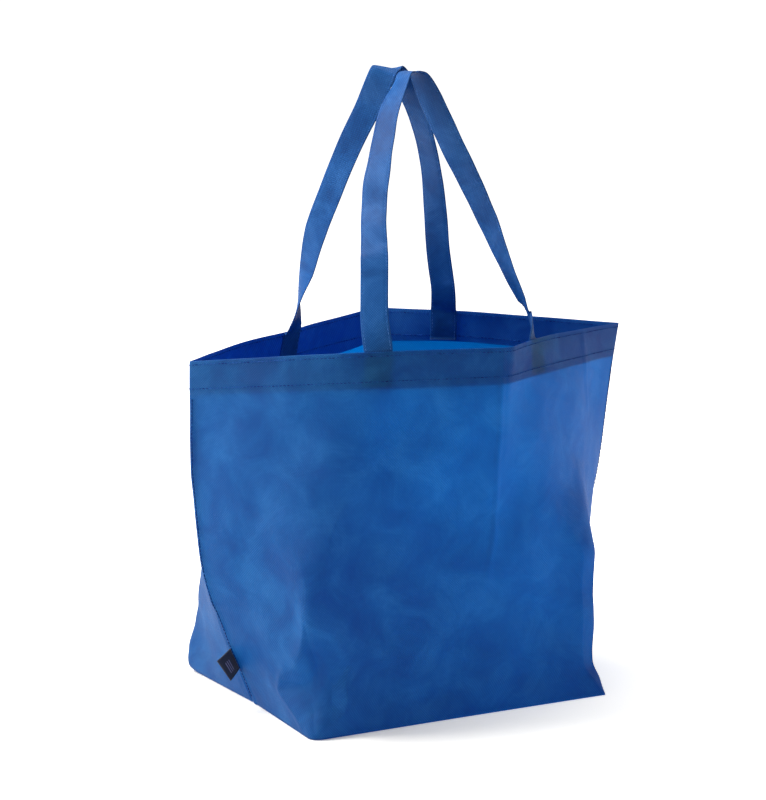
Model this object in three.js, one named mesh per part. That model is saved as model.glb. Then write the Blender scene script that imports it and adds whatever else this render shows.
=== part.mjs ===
// An open shopping bag of thin bonded cloth, standing on its flat base.
// The body is one sheet folded under the base, sewn up both sides and hemmed inward at the rim.
// Two flat straps are sewn inside the hem as carrying handles, and a small loop label is
// caught in the left side seam. X is the bag's width, the front faces -Y and Z is up.
// The origin is the middle of the base, and all sizes are millimetres.

import * as THREE from 'three';

// Sizes of the cut and sewn body
const PANEL_WIDTH = 550; // flat width from side seam to side seam
const BASE_DEPTH = 255; // front to back across the base
const CORNER_HEIGHT = 317; // height of the rim where the side seams end
const FRONT_RISE = 15; // how much higher the front rim stands than its corners
const BACK_RISE = 6; // the same for the back rim
const HEM_DEPTH = 30; // depth of the cloth turned inward at the rim
const CLOTH = 1; // thickness of one layer of cloth

// Sizes of the handles
const STRAP_LENGTH = { front: 600, back: 612 }; // cut length, with both sewn feet
const STRAP_WIDTH = 25;
const STRAP_THICKNESS = 1.2;
const STRAP_FEET = { front: [-92, 88], back: [-90, 102] }; // along the rim from its middle
const LEG_TURN = 28; // degrees the faces of the legs turn about Z on their way up
const CROWN_LENGTH = 10; // the nearly flat run over the top of a loop
const CROWN_MEET = [8, -1.1]; // X and Y where the edges of the two tops come together
const CROWN_GAP = 4.5; // between those edges
// turn: degrees the top of a loop is turned about Z
// lean: how far its near edge rises above its far one for each millimetre of width
const CROWNS = { front: { turn: 6, lean: 0.1 }, back: { turn: 43, lean: -0.1 } };

// Sizes of the label
const LABEL_HEIGHT = 20; // along the seam
const LABEL_REACH = 20; // out of the seam
const LABEL_THICKNESS = 0.8;
const LABEL_BOTTOM = 34; // height of its lower corner above the base

const SEAT_GAP = 0.45; // clearance between pieces that are sewn together

// Values worked out from the sizes
const HALF_LENGTH = (PANEL_WIDTH - BASE_DEPTH) / 2;
const HALF_DEPTH = BASE_DEPTH / 2;
const HALF_PANEL = PANEL_WIDTH / 2;
const HEM_LEVEL = 1 - HEM_DEPTH / CORNER_HEIGHT;
const STRAP_INSET = 2 * CLOTH + SEAT_GAP + STRAP_THICKNESS / 2; // from the bag's outside

// The body's vertical fold lines, in order round the bag, seen from above anticlockwise.
// base: share of the half length and half depth of the base
// rim: share of half the panel width
// rise: extra height of the rim here
// bow: how far the line leans out of the straight one in X, as a share of SEAM_BOW
// soft: how far the fold is rounded off along its two sides, at the base and at the rim
const FOLDS = [
  { base: [-0.965, 0], rim: [-0.738, 0], rise: 0, bow: -1, soft: [10, 5] }, // left seam
  { base: [-1, -1], rim: [-0.42, -0.41], rise: FRONT_RISE * 0.9, bow: 0, soft: [14, 52] },
  { base: [0.06, -1], rim: [0.138, -0.535], rise: FRONT_RISE, bow: 0, soft: [60, 22] },
  { base: [1, -1], rim: [0.36, -0.345], rise: FRONT_RISE * 0.8, bow: 0.4, soft: [5, 30] },
  { base: [0.95, 0], rim: [0.856, -0.036], rise: 0, bow: 1, soft: [10, 5] }, // right seam
  { base: [1, 1], rim: [0.43, 0.34], rise: BACK_RISE, bow: 0.4, soft: [5, 30] },
  { base: [0.07, 1], rim: [0.225, 0.545], rise: BACK_RISE, bow: 0, soft: [60, 20] },
  { base: [-1.01, 1], rim: [-0.436, 0.26], rise: BACK_RISE * 0.5, bow: -0.15, soft: [3, 30] },
];
// Lean of a side seam out of the straight line, as [level, share of half the panel width]
const SEAM_BOW = [
  [0, 0], [0.1, 0.026], [0.18, 0.049], [0.3, 0.084], [0.45, 0.087], [0.6, 0.075], [0.78, 0.048],
  [0.9, 0.02], [1, 0],
];
// Both sides run from the left seam to the right one
const FRONT_SIDE = { first: 0, last: 4 };
const BACK_SIDE = { first: 8, last: 4 };

// Levels of the loft, as shares of the height
const FOOT_LEVELS = [HEM_LEVEL, (1 + HEM_LEVEL) / 2, 1];
const LEVELS = [0, 0.03, 0.1, 0.2, 0.3, 0.42, 0.55, 0.68, 0.8, ...FOOT_LEVELS];
const FOLD_STEPS = 6; // segments round one soft fold
const SIDE_STEPS = 3; // segments along one flat stretch
const POINTS_PER_FOLD = FOLD_STEPS + SIDE_STEPS;

// How each leg of a strap climbs from its foot to the crown, left leg first.
// turn: how early its face turns from the panel's direction to the crown's
// path: shares of the way up, along X and along Y
const FRONT_LEGS = [
  {
    turn: 2,
    path: [
      [0.12, 0.045, 0.1], [0.37, 0.2, 0.33], [0.54, 0.31, 0.5], [0.685, 0.46, 0.635],
      [0.825, 0.635, 0.78], [0.935, 0.83, 0.895],
    ],
  },
  {
    turn: 2.4,
    path: [
      [0.075, -0.07, 0.1], [0.13, 0.01, 0.165], [0.285, 0.165, 0.33], [0.44, 0.315, 0.47],
      [0.6, 0.49, 0.595], [0.75, 0.68, 0.735], [0.895, 0.845, 0.9],
    ],
  },
];
const BACK_LEGS = [
  {
    turn: 5,
    path: [
      [0.12, 0.035, 0.125], [0.235, 0.09, 0.235], [0.39, 0.165, 0.385], [0.545, 0.345, 0.52],
      [0.695, 0.55, 0.645], [0.855, 0.805, 0.81],
    ],
  },
  {
    turn: 2.5,
    path: [
      [0.08, 0.05, 0.085], [0.255, 0.175, 0.24], [0.42, 0.28, 0.41], [0.585, 0.4, 0.57],
      [0.79, 0.6, 0.76], [0.905, 0.77, 0.86],
    ],
  },
];
const LEG_ROWS = 22;
const ACROSS = [-0.5, -0.25, 0, 0.25, 0.5]; // shares of the strap's width

const UP = new THREE.Vector3(0, 0, 1);
const LEG_WAY = levelWay(LEG_TURN);

function levelWay(degrees) {
  return new THREE.Vector3(1, 0, 0).applyAxisAngle(UP, THREE.MathUtils.degToRad(degrees));
}

function seamBow(level) {
  const after = Math.max(SEAM_BOW.findIndex((entry) => entry[0] >= level), 1);
  const [from, to] = [SEAM_BOW[after - 1], SEAM_BOW[after]];
  const k = (level - from[0]) / (to[0] - from[0]);
  return THREE.MathUtils.lerp(from[1], to[1], k) * HALF_PANEL;
}

function foldPoint(fold, level) {
  const x = THREE.MathUtils.lerp(fold.base[0] * HALF_LENGTH, fold.rim[0] * HALF_PANEL, level);
  const y = THREE.MathUtils.lerp(fold.base[1] * HALF_DEPTH, fold.rim[1] * HALF_PANEL, level);
  return new THREE.Vector3(x + fold.bow * seamBow(level), y, level * (CORNER_HEIGHT + fold.rise));
}

// One closed section of the bag at a level: straight stretches joined by rounded folds.
function sectionPoints(level) {
  const corners = FOLDS.map((fold) => foldPoint(fold, level));
  const towards = (from, to, reach) => from.clone().lerp(to, Math.min(reach / from.distanceTo(to), 0.48));
  const soft = FOLDS.map((fold) => THREE.MathUtils.lerp(fold.soft[0], fold.soft[1], level));
  const points = [];
  corners.forEach((corner, i) => {
    const next = (i + 1) % corners.length;
    const enter = towards(corner, corners.at(i - 1), soft[i]);
    const leave = towards(corner, corners[next], soft[i]);
    const nextEnter = towards(corners[next], corner, soft[next]);
    const bend = new THREE.QuadraticBezierCurve3(enter, corner, leave);
    const flat = new THREE.LineCurve3(leave, nextEnter);
    points.push(...bend.getPoints(FOLD_STEPS).slice(0, -1), ...flat.getPoints(SIDE_STEPS).slice(0, -1));
  });
  return points;
}

// The direction into the bag at each point of a section.
function inwardNormals(points) {
  return points.map((_, i) => {
    const along = points[(i + 1) % points.length].clone().sub(points.at(i - 1));
    return new THREE.Vector3(-along.y, along.x, 0).normalize();
  });
}

function insetSection(level, inset, lift = 0) {
  const points = sectionPoints(level);
  const inward = inwardNormals(points);
  return points.map((point, i) => point.addScaledVector(inward[i], inset).setZ(point.z + lift));
}

// A closed body from a stack of loops, with a flat fan on the first and the last one.
function loftGeometry(loops) {
  const count = loops[0].length;
  const positions = loops.flat().flatMap((point) => point.toArray());
  const index = [];
  for (let row = 0; row < loops.length - 1; row += 1) {
    for (let i = 0; i < count; i += 1) {
      const [a, b] = [row * count + i, row * count + ((i + 1) % count)];
      index.push(a, b, b + count, a, b + count, a + count);
    }
  }
  const middles = [loops[0], loops.at(-1)].map((loop) => new THREE.Vector3(0, 0, loop[0].z));
  positions.push(...middles.flatMap((point) => point.toArray()));
  const lastRow = (loops.length - 1) * count;
  for (let i = 0; i < count; i += 1) {
    const j = (i + 1) % count;
    index.push(loops.length * count, j, i);
    index.push(loops.length * count + 1, lastRow + i, lastRow + j);
  }
  const geometry = new THREE.BufferGeometry();
  geometry.setAttribute('position', new THREE.Float32BufferAttribute(positions, 3));
  geometry.setIndex(index);
  geometry.computeVertexNormals();
  return geometry;
}

// A thin sheet given as rows of points, thickened evenly to both sides.
function thickSheet(rows, thickness) {
  const [down, wide] = [rows.length, rows[0].length];
  const clampRow = (r) => rows[THREE.MathUtils.clamp(r, 0, down - 1)];
  const faces = [[], []];
  rows.forEach((row, r) => row.forEach((point, c) => {
    const along = clampRow(r + 1)[c].clone().sub(clampRow(r - 1)[c]);
    const across = row[Math.min(c + 1, wide - 1)].clone().sub(row[Math.max(c - 1, 0)]);
    const normal = across.cross(along).normalize().multiplyScalar(thickness / 2);
    faces[0].push(point.clone().add(normal));
    faces[1].push(point.clone().sub(normal));
  }));
  const size = down * wide;
  const index = [];
  const quad = (a, b, c, d) => index.push(a, b, c, a, c, d);
  for (let r = 0; r < down - 1; r += 1) {
    for (let c = 0; c < wide - 1; c += 1) {
      const a = r * wide + c;
      quad(a, a + 1, a + 1 + wide, a + wide);
      quad(size + a, size + a + wide, size + a + 1 + wide, size + a + 1);
    }
    const [left, right] = [r * wide, r * wide + wide - 1];
    quad(left, left + wide, size + left + wide, size + left);
    quad(right, size + right, size + right + wide, right + wide);
  }
  for (let c = 0; c < wide - 1; c += 1) {
    const far = (down - 1) * wide + c;
    quad(c, size + c, size + c + 1, c + 1);
    quad(far, far + 1, size + far + 1, size + far);
  }
  const geometry = new THREE.BufferGeometry();
  const positions = faces.flat().flatMap((point) => point.toArray());
  geometry.setAttribute('position', new THREE.Float32BufferAttribute(positions, 3));
  geometry.setIndex(index);
  geometry.computeVertexNormals();
  return geometry;
}

// The body: up the outside, over the rim, down the inside of the hem and on down the inside.
function bodyGeometry() {
  const hemThickness = 2 * CLOTH;
  const hemLevels = LEVELS.filter((level) => level >= HEM_LEVEL).reverse();
  const wallLevels = LEVELS.filter((level) => level <= HEM_LEVEL && level > 0).reverse();
  const loops = [
    ...LEVELS.map((level) => insetSection(level, 0)),
    insetSection(1, CLOTH, CLOTH / 2),
    ...hemLevels.map((level) => insetSection(level, hemThickness)),
    ...wallLevels.map((level) => insetSection(level, CLOTH)),
    insetSection(0, CLOTH, CLOTH),
  ];
  return loftGeometry(loops);
}

// Points of one side of the bag at a level, from the left seam to the right seam.
function sidePath(side, level) {
  const points = sectionPoints(level);
  const inward = inwardNormals(points);
  const step = Math.sign(side.last - side.first);
  const first = side.first * POINTS_PER_FOLD + FOLD_STEPS / 2;
  const last = side.last * POINTS_PER_FOLD + FOLD_STEPS / 2;
  const path = [];
  for (let i = first; i !== last + step; i += step) {
    const k = i % points.length;
    path.push({ point: points[k], inward: inward[k] });
  }
  let run = 0;
  path.forEach((entry, i) => {
    run += i > 0 ? entry.point.distanceTo(path[i - 1].point) : 0;
    entry.run = run;
  });
  return path;
}

// The middle of a strap sewn to the inside of the hem, a distance from the middle of the side.
function placeOnSide(side, level, fromMiddle) {
  const path = sidePath(side, level);
  const run = path.at(-1).run / 2 + fromMiddle;
  const after = path.findIndex((entry) => entry.run >= run);
  const [a, b] = [path[after - 1], path[after]];
  const k = (run - a.run) / (b.run - a.run);
  const inward = a.inward.clone().lerp(b.inward, k).normalize();
  const point = a.point.clone().lerp(b.point, k).addScaledVector(inward, STRAP_INSET);
  return { point, inward };
}

// Rows of a sewn foot, from the hem's lower edge up to the rim.
function footRows(side, fromMiddle, acrossSign) {
  const at = (level, share) => placeOnSide(side, level, fromMiddle + acrossSign * share * STRAP_WIDTH);
  return FOOT_LEVELS.map((level) => ACROSS.map((share) => at(level, share).point));
}

// The middle line of one leg above the rim, from its foot to the crown.
function legPoints(foot, crown, leg) {
  const way = crown.clone().sub(foot);
  return leg.path.map(([up, x, y]) => foot.clone().add(new THREE.Vector3(way.x * x, way.y * y, way.z * up)));
}

function strapLine(feet, legs, crown) {
  const half = crown.way.clone().multiplyScalar(CROWN_LENGTH / 2);
  const ends = [crown.middle.clone().sub(half), crown.middle.clone().add(half)];
  const left = legPoints(feet[0], ends[0], legs[0]);
  const right = legPoints(feet[1], ends[1], legs[1]);
  const points = [feet[0], ...left, ...ends, ...right.reverse(), feet[1]];
  return new THREE.CatmullRomCurve3(points, false, 'centripetal');
}

// The line between the feet whose crown is just high enough to use up the strap's length.
function fitStrapLine(feet, legs, crown, length) {
  let [low, high] = [feet[0].z, feet[0].z + length];
  const lineAt = (height) => {
    const middle = crown.middle.clone().setZ(height);
    return strapLine(feet, legs, { ...crown, middle });
  };
  for (let i = 0; i < 24; i += 1) {
    const middle = (low + high) / 2;
    if (lineAt(middle).getLength() < length) low = middle;
    else high = middle;
  }
  return lineAt(low);
}

// The outer face turns from the panel's own direction at the foot to the leg's direction, then
// to the crown's, and rolls up to face the sky over the crown.
function faceDirection(footFace, legFace, crownFace, sky, turn, climb) {
  const flat = footFace.clone().lerp(legFace, 1 - (1 - climb) ** turn).normalize();
  return flat.lerp(crownFace, climb ** 8).normalize().lerp(sky, climb ** 20).normalize();
}

function freeRows(line, places, legs, crown) {
  const rows = [];
  for (let i = 1; i < 2 * LEG_ROWS; i += 1) {
    const leg = i < LEG_ROWS ? 0 : 1;
    const climb = 1 - Math.abs(1 - i / LEG_ROWS) ** 1.6;
    const u = leg === 0 ? climb / 2 : 1 - climb / 2;
    const footFace = places[leg].inward.clone().negate();
    const [legFace, crownFace] = [LEG_WAY, crown.way].map((way) => way.clone().multiplyScalar(leg * 2 - 1));
    const face = faceDirection(footFace, legFace, crownFace, crown.sky, legs[leg].turn, climb);
    const across = line.getTangentAt(u).cross(face).normalize().multiplyScalar(STRAP_WIDTH);
    rows.push(ACROSS.map((share) => line.getPointAt(u).addScaledVector(across, share)));
  }
  return rows;
}

// The top of a loop: its middle in plan, the way it runs and the way its upper face looks.
function crownOf({ turn, lean }, sign) {
  const way = levelWay(turn);
  const near = way.clone().cross(UP);
  const middle = new THREE.Vector3(...CROWN_MEET, 0);
  middle.addScaledVector(near, sign * (STRAP_WIDTH + CROWN_GAP) / 2);
  return { middle, way, sky: UP.clone().addScaledVector(near, -lean).normalize() };
}

// One handle. sign is 1 at the front of the bag and -1 at the back of it.
function strapGeometry(side, sign, seats, legs, crownPlan, length) {
  const places = seats.map((seat) => placeOnSide(side, 1, seat));
  const feet = places.map((place) => place.point);
  const crown = crownOf(crownPlan, sign);
  const line = fitStrapLine(feet, legs, crown, length - 2 * HEM_DEPTH);
  return thickSheet([
    ...footRows(side, seats[0], sign),
    ...freeRows(line, places, legs, crown),
    ...footRows(side, seats[1], -sign).reverse(),
  ], STRAP_THICKNESS);
}

// The label leaves the left seam outward, a little forward, and droops.
function labelGeometry() {
  const out = new THREE.Vector3(-0.88, -0.42, -0.38).normalize();
  const rows = [0, 0.5, 1].map((share) => {
    const height = LABEL_BOTTOM + share * LABEL_HEIGHT;
    const root = sectionPoints(height / CORNER_HEIGHT)[FOLD_STEPS / 2];
    root.x -= SEAT_GAP + LABEL_THICKNESS / 2;
    return [0, 0.5, 1].map((reach) => root.clone().addScaledVector(out, reach * LABEL_REACH));
  });
  return thickSheet(rows, LABEL_THICKNESS);
}

function namedMesh(name, geometry, material) {
  const mesh = new THREE.Mesh(geometry, new THREE.MeshStandardMaterial(material));
  mesh.name = name;
  return mesh;
}

const bodyCloth = { color: 0x1f57ad, roughness: 0.75, metalness: 0 };
const strapCloth = { color: 0x2a5fb0, roughness: 0.7, metalness: 0 };
const labelCloth = { color: 0x15182c, roughness: 0.6, metalness: 0 };

const bag = new THREE.Group();
bag.add(namedMesh('bag_body', bodyGeometry(), bodyCloth));
const handles = [
  ['front_handle', FRONT_SIDE, 1, STRAP_FEET.front, FRONT_LEGS, CROWNS.front, STRAP_LENGTH.front],
  ['back_handle', BACK_SIDE, -1, STRAP_FEET.back, BACK_LEGS, CROWNS.back, STRAP_LENGTH.back],
];
for (const [name, ...plan] of handles) bag.add(namedMesh(name, strapGeometry(...plan), strapCloth));
bag.add(namedMesh('side_label', labelGeometry(), labelCloth));

export default bag;
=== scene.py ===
"""An open shopping bag of thin bonded cloth, standing on a white floor.

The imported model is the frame. The body, both straps and the label are rebuilt here as
cloth, with their folds, hems, seams and stitches. They lie mostly within 2 mm of it, and up
to 15 mm from it at the dented front left fold and where the straps twist above their feet.
Shapes are worked out in millimetres, and new_object turns them into metres. The camera, the
lamps and the floor are given in metres.
"""
import math

import bpy
import numpy as np
from mathutils import Matrix, Vector


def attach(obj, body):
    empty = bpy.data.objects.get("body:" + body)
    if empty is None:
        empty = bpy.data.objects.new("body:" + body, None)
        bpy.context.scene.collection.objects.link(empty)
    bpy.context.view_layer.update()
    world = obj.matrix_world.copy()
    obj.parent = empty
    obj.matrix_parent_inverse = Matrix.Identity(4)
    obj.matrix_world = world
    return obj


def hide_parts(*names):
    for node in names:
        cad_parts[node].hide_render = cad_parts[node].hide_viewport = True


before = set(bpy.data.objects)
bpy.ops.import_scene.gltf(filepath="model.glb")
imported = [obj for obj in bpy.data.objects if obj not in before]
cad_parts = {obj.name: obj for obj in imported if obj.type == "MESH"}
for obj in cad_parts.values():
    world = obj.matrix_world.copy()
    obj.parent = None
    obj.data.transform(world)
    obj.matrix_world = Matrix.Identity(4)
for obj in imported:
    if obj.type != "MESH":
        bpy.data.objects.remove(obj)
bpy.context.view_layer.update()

MM = 0.001


# Camera, at the photograph's viewing angle

CAMERA_PLACE = np.array([-1.27876, -2.33474, 0.789])
CAMERA_WAY = np.array([0.46830, 0.86215, -0.19338])
CAMERA_LENS = 135.0
SENSOR_WIDTH = 36.0


def make_camera():
    forward = CAMERA_WAY / np.linalg.norm(CAMERA_WAY)
    side = np.cross(forward, [0.0, 0.0, 1.0])
    side /= np.linalg.norm(side)
    up = np.cross(side, forward)
    data = bpy.data.cameras.new("camera")
    data.lens = CAMERA_LENS
    data.sensor_width = SENSOR_WIDTH
    data.sensor_fit = "AUTO"
    data.clip_end = 100.0
    camera = bpy.data.objects.new("camera", data)
    bpy.context.scene.collection.objects.link(camera)
    rows = [[side[i], up[i], -forward[i], CAMERA_PLACE[i]] for i in range(3)]
    camera.matrix_world = Matrix(rows + [[0, 0, 0, 1]])
    bpy.context.scene.camera = camera


make_camera()


# Small helpers


def smooth(a, b, x):
    """0 below a, 1 above b, and an even rise between them."""
    k = np.clip((x - a) / (b - a), 0.0, 1.0)
    return k * k * (3.0 - 2.0 * k)


def curve_through(table, x):
    """A smooth curve through the rows (x, values...) of a table, without overshoot."""
    table = np.asarray(table, float)
    xs, ys = table[:, 0], table[:, 1:]
    step = np.diff(xs)[:, None]
    slope = np.diff(ys, axis=0) / step
    tangent = np.zeros_like(ys)
    tangent[0], tangent[-1] = slope[0], slope[-1]
    both = slope[:-1] * slope[1:] > 0
    with np.errstate(divide="ignore", invalid="ignore"):
        middle = 2.0 / (1.0 / slope[:-1] + 1.0 / slope[1:])
    tangent[1:-1] = np.where(both, np.nan_to_num(middle), 0.0)
    x = np.clip(x, xs[0], xs[-1])
    i = np.clip(np.searchsorted(xs, x, side="right") - 1, 0, len(xs) - 2)
    h = (xs[i + 1] - xs[i])
    t = ((x - xs[i]) / h)
    t, h = np.asarray(t)[..., None], np.asarray(h)[..., None]
    a = ys[i] * (1 + 2 * t) * (1 - t) ** 2 + ys[i + 1] * t * t * (3 - 2 * t)
    b = tangent[i] * h * t * (1 - t) ** 2 + tangent[i + 1] * h * t * t * (t - 1)
    return a + b


def unit(v):
    return v / np.maximum(np.linalg.norm(v, axis=-1, keepdims=True), 1e-12)


def lengths_along(points):
    """The distance along a line of points, from its first point to each."""
    step = np.linalg.norm(np.diff(points, axis=0), axis=1)
    return np.concatenate([[0.0], np.cumsum(step)])


def at_length(s, run, values):
    """Points or directions given along a run, read off at one or more distances."""
    return np.stack([np.interp(s, run, values[:, k]) for k in range(3)], axis=-1)


def new_object(name, verts, faces, uvs=None):
    """A smooth mesh object from points in millimetres, with one uv for each point if given."""
    mesh = bpy.data.meshes.new(name)
    mesh.from_pydata([tuple(p) for p in np.asarray(verts) * MM], [], faces)
    if uvs is not None:
        layer = mesh.uv_layers.new(name="cloth")
        index = np.empty(len(mesh.loops), dtype=np.int32)
        mesh.loops.foreach_get("vertex_index", index)
        layer.data.foreach_set("uv", (np.asarray(uvs)[index] * MM).ravel())
    mesh.polygons.foreach_set("use_smooth", [True] * len(mesh.polygons))
    mesh.update()
    piece = bpy.data.objects.new(name, mesh)
    bpy.context.scene.collection.objects.link(piece)
    return piece


def thick_faces(down, wide):
    """Faces round two layers of down by wide points: both layers, both sides and both ends."""
    faces, size = [], down * wide
    for r in range(down - 1):
        for c in range(wide - 1):
            a = r * wide + c
            faces.append((a, a + 1, a + 1 + wide, a + wide))
            faces.append((size + a, size + a + wide, size + a + 1 + wide, size + a + 1))
        a, b = r * wide, r * wide + wide - 1
        faces.append((a, a + wide, size + a + wide, size + a))
        faces.append((size + b, size + b + wide, b + wide, b))
    for c in range(wide - 1):
        faces.append((c, c + 1, size + c + 1, size + c))
    for c in range(wide - 1):
        a = (down - 1) * wide + c
        faces.append((size + a, size + a + 1, a + 1, a))
    return faces


class Waves:
    """Soft undulation of a plane: a sum of sines with fixed pseudo-random directions."""

    def __init__(self, seed, length, count=14):
        rng = np.random.default_rng(seed)
        turn = rng.uniform(0, 2 * math.pi, count)
        scale = 2 * math.pi / (length * rng.uniform(0.7, 1.6, count))
        self.kx, self.ky = np.cos(turn) * scale, np.sin(turn) * scale
        self.phase = rng.uniform(0, 2 * math.pi, count)
        self.gain = 1.0 / math.sqrt(count / 2.0)

    def __call__(self, x, y):
        total = np.zeros(np.broadcast(x, y).shape)
        for kx, ky, phase in zip(self.kx, self.ky, self.phase):
            total += np.sin(kx * x + ky * y + phase)
        return total * self.gain


# The body's eight fold lines in order round the bag, from the left seam round the front:
# how high each stands at the rim, and its path up the bag. Each row of a path is level (0 at
# the base and 1 at the rim), x, y, how far the fold is cut or rounded off before it and after
# it, and how flat the cut is, from 0 for a round corner to 1 for a flat facet.
HEIGHTS = [317.0, 334.6, 332.0, 329.0, 317.0, 323.0, 322.4, 315.2]
FOLDS = [
    [(0, -142, 0, 12, 12, 0), (0.11, -157, 0, 8, 8, 0), (0.18, -167, 0, 5, 5, 0),
     (0.285, -180, 0, 3, 3, 0), (0.31, -184, 0, 3, 3, 0), (0.435, -194.5, 0, 3, 3, 0),
     (0.52, -197.5, 0, 3, 3, 0), (0.61, -200.5, 0, 3, 3, 0), (0.7, -203.5, 0, 3, 3, 0),
     (0.8, -204, 0, 3, 3, 0), (1, -203, 0, 3, 3, 0)],
    [(0, -148, -126, 9, 10, 0.3), (0.05, -149, -125, 18, 16, 0), (0.11, -150, -123, 44, 28, 0),
     (0.18, -150, -121, 36, 26, 0), (0.26, -149, -121, 12, 14, 0), (0.38, -147, -121, 8, 12, 0),
     (0.45, -146, -119, 11, 15, 0.2), (0.52, -143, -118, 26, 16, 0.6), (0.6, -139, -117, 38, 26, 0.4),
     (0.7, -133, -116, 46, 40, 0), (0.8, -126, -114, 52, 48, 0), (1, -115, -112, 52, 52, 0)],
    [(0, 9, -127, 60, 60, 0), (0.25, 12, -131, 40, 40, 0), (0.45, 21, -136, 14, 14, 0),
     (0.7, 29, -141, 9, 9, 0), (1, 38, -147, 9, 9, 0)],
    [(0, 150.5, -129.5, 4, 4, 0), (0.04, 148, -127.5, 8, 6, 1), (0.1, 142.5, -126, 14, 7, 1),
     (0.27, 140.5, -125.5, 14, 7, 1), (0.39, 140, -122.5, 12, 9, 0.8), (0.48, 135, -117, 20, 22, 0.4),
     (0.6, 125, -109, 40, 40, 0), (1, 99, -95, 30, 40, 0)],
    [(0, 143, 0, 12, 12, 0), (0.11, 161, -1, 8, 8, 0), (0.18, 172, -2, 5, 5, 0),
     (0.3, 193.5, -3, 3, 3, 0), (0.38, 199.5, -4, 3, 3, 0), (0.45, 207, -4, 3, 3, 0),
     (0.56, 215, -6, 3, 3, 0), (0.65, 220, -7, 3, 3, 0), (0.8, 226.5, -8, 3, 3, 0),
     (0.9, 231, -9, 3, 3, 0), (1, 236, -10, 3, 3, 0)],
    [(0, 148, 127, 5, 5, 0), (0.1, 146, 124, 16, 16, 0.6), (0.3, 143, 117, 12, 14, 0.2),
     (0.6, 132, 107, 26, 26, 0), (1, 118, 94, 30, 30, 0)],
    [(0, 10, 127, 60, 60, 0), (0.4, 30, 136, 30, 30, 0), (1, 62, 149, 16, 16, 0)],
    [(0, -146, 122, 8, 8, 0), (0.015, -150.5, 126, 6, 6, 0.1), (0.04, -153, 125, 5, 5, 0.2),
     (0.08, -155, 121, 9, 9, 0.3), (0.16, -150, 116, 13, 13, 0.4), (0.22, -146, 114, 14, 14, 0.3),
     (0.33, -143, 109, 12, 14, 0.2), (0.6, -133, 93, 24, 24, 0), (1, -120, 72, 30, 30, 0)],
]
CORNER_HEIGHT = HEIGHTS[0]
MEAN_HEIGHT = np.mean(HEIGHTS)
LONGEST_REACH = 0.48  # of the way to the next fold
FACET_DEPTH = 0.85

# Columns of points in the bend of each fold, and on the cloth after it
BEND_COLUMNS = 18
FLAT_COLUMNS = [44, 50, 26, 26, 24, 24, 26, 26]
STARTS = np.concatenate([[0], np.cumsum(np.array(FLAT_COLUMNS) + BEND_COLUMNS)])
LEFT_SEAM, RIGHT_SEAM = BEND_COLUMNS // 2, STARTS[4] + BEND_COLUMNS // 2
LAYER_GAP = 1.1  # between the wall and the hem folded inside it


def section(level):
    """Points of the body's outside at one level, (columns, 3), closed round the bag."""
    rows = [curve_through(table, level) for table in FOLDS]
    corners = np.array([[r[0], r[1], level * h] for r, h in zip(rows, HEIGHTS)])
    count = len(corners)
    enters, leaves = [], []
    for i in range(count):
        before, after = corners[i - 1], corners[(i + 1) % count]
        for reach, other, out in ((rows[i][2], before, enters), (rows[i][3], after, leaves)):
            k = min(reach / np.linalg.norm(other - corners[i]), LONGEST_REACH)
            out.append(corners[i] + (other - corners[i]) * k)
    points = []
    for i in range(count):
        t = (np.arange(BEND_COLUMNS) / BEND_COLUMNS)[:, None]
        bend = enters[i] * (1 - t) ** 2 + corners[i] * 2 * t * (1 - t) + leaves[i] * t * t
        chord = enters[i] * (1 - t) + leaves[i] * t
        points.append(bend + (chord - bend) * rows[i][4] * FACET_DEPTH)
        t = (np.arange(FLAT_COLUMNS[i]) / FLAT_COLUMNS[i])[:, None]
        points.append(leaves[i] * (1 - t) + enters[(i + 1) % count] * t)
    return np.concatenate(points)


def inward(points):
    """Level directions into the bag, square to its outside."""
    along = np.roll(points, -1, axis=0) - np.roll(points, 1, axis=0)
    return unit(np.stack([-along[:, 1], along[:, 0], np.zeros(len(along))], axis=1))


def run_round(points):
    """Arc length of each point from the left seam, going round by the front."""
    step = np.linalg.norm(np.roll(points, -1, axis=0) - points, axis=1)
    run = np.concatenate([[0.0], np.cumsum(step)[:-1]])
    return run - run[BEND_COLUMNS // 2]


# Pressed creases, as lines of (distance from the left seam by the front, height) with the
# height out of the surface, the half width on either side, and where they fade in and out.
CREASES = [
    {"line": [(290, 72), (294, 106), (298, 160), (294, 223), (289, 286), (286, 330)],
     "lift": 1.0, "before": 5.0, "after": 5.5, "ends": (0.35, 1.0)},
    {"line": [(74, 192), (84, 181), (99, 159), (112, 150), (122, 118), (118, 90), (105, 65)],
     "lift": 2.2, "before": 17, "after": 19, "ends": (0.15, 0.8)},
    {"line": [(90, 64), (77, 45), (72, 33), (87, 24), (98, 17), (104, 8)],
     "lift": 1.3, "before": 8, "after": 9, "ends": (0.15, 1.0)},
    {"line": [(-1.5, 300), (-1.5, 90), (-2.5, 60), (-2.5, 0)],
     "lift": -2.4, "before": 3.0, "after": 2.4, "ends": (0.2, 1.0)},
    {"line": [(4, 300), (4, 90), (4, 0)],
     "lift": 0.8, "before": 3.5, "after": 9, "ends": (0.2, 1.0)},
    {"line": [(97, 331), (106, 316), (115, 300)],
     "lift": -0.7, "before": 6, "after": 3, "ends": (0.0, 0.8)},
    {"line": [(456, 318), (461, 290), (467, 262), (478, 215)],
     "lift": 0.9, "before": 5, "after": 6, "ends": (0.0, 0.5)},
]

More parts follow.
